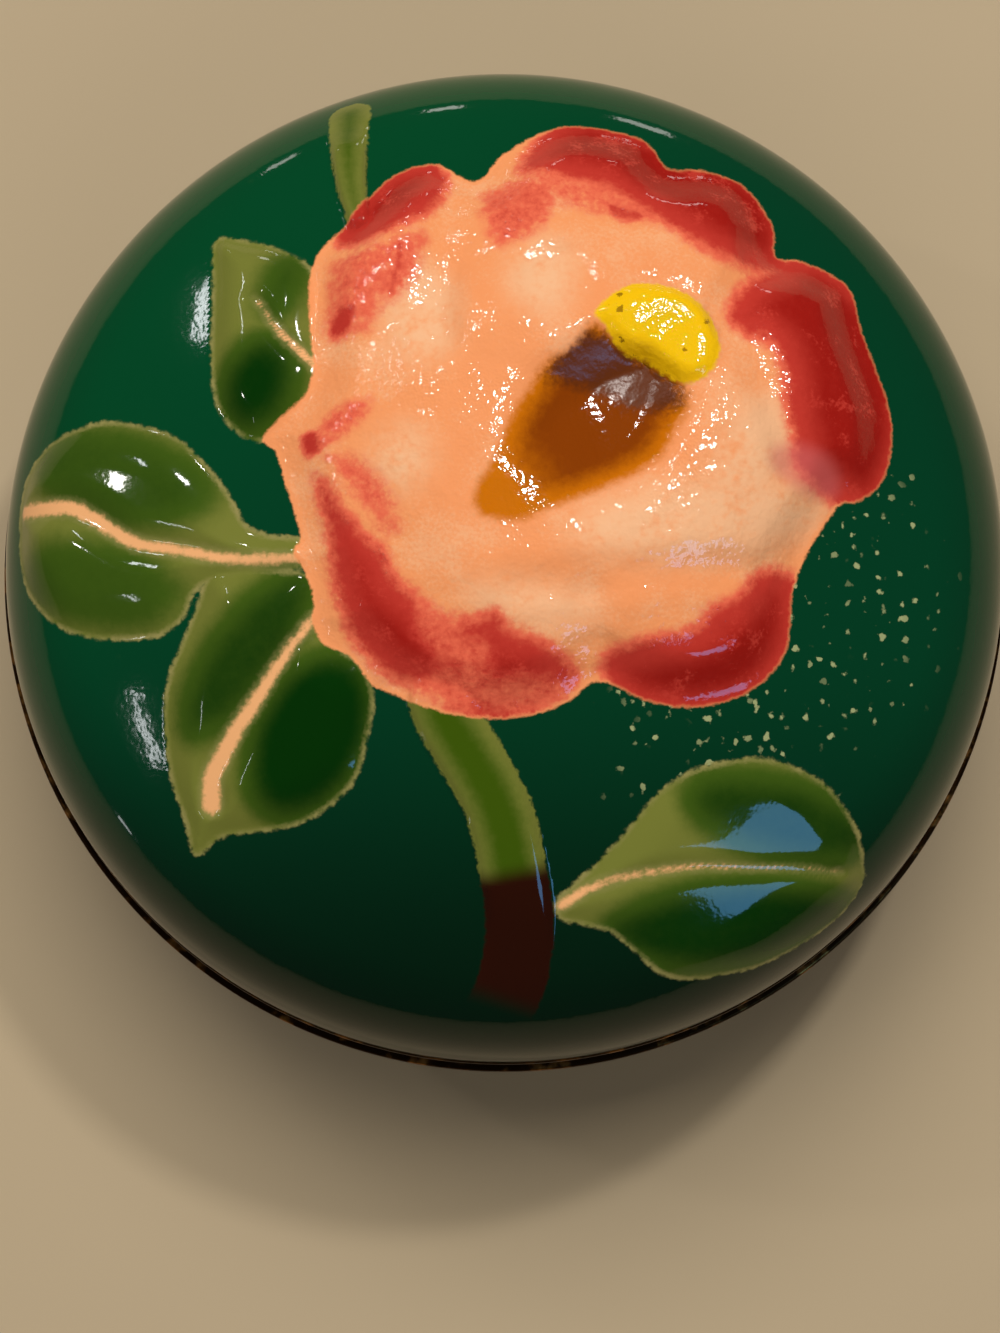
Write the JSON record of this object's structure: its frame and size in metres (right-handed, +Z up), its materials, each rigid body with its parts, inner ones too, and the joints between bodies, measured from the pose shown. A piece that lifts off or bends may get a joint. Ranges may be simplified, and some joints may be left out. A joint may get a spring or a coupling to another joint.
{
  "type": "enamelled trinket box",
  "caption": "Small round trinket box with a loose domed lid, embossed with a flower spray under coloured enamel, on a low foot ring.",
  "frame": {"origin": "centre of the foot ring's underside", "axes": "+Z up through the middle of the lid, -Y towards the viewer, +X to the viewer's right, with the flower's stem pointing to -Y"},
  "size_m": [0.0762, 0.0762, 0.0393],
  "materials": {
    "lid_enamel": "glossy fused enamel, deep green ground with a red and peach flower",
    "lid_brass": "darkened brass",
    "base_enamel": "glossy fused enamel, deep green",
    "base_brass": "darkened brass"
  },
  "bodies": {
    "root": {"lid": "lid_enamel", "lid_rim": "lid_brass", "base": "base_enamel", "base_rim": "base_brass"}
  },
  "joints": []
}
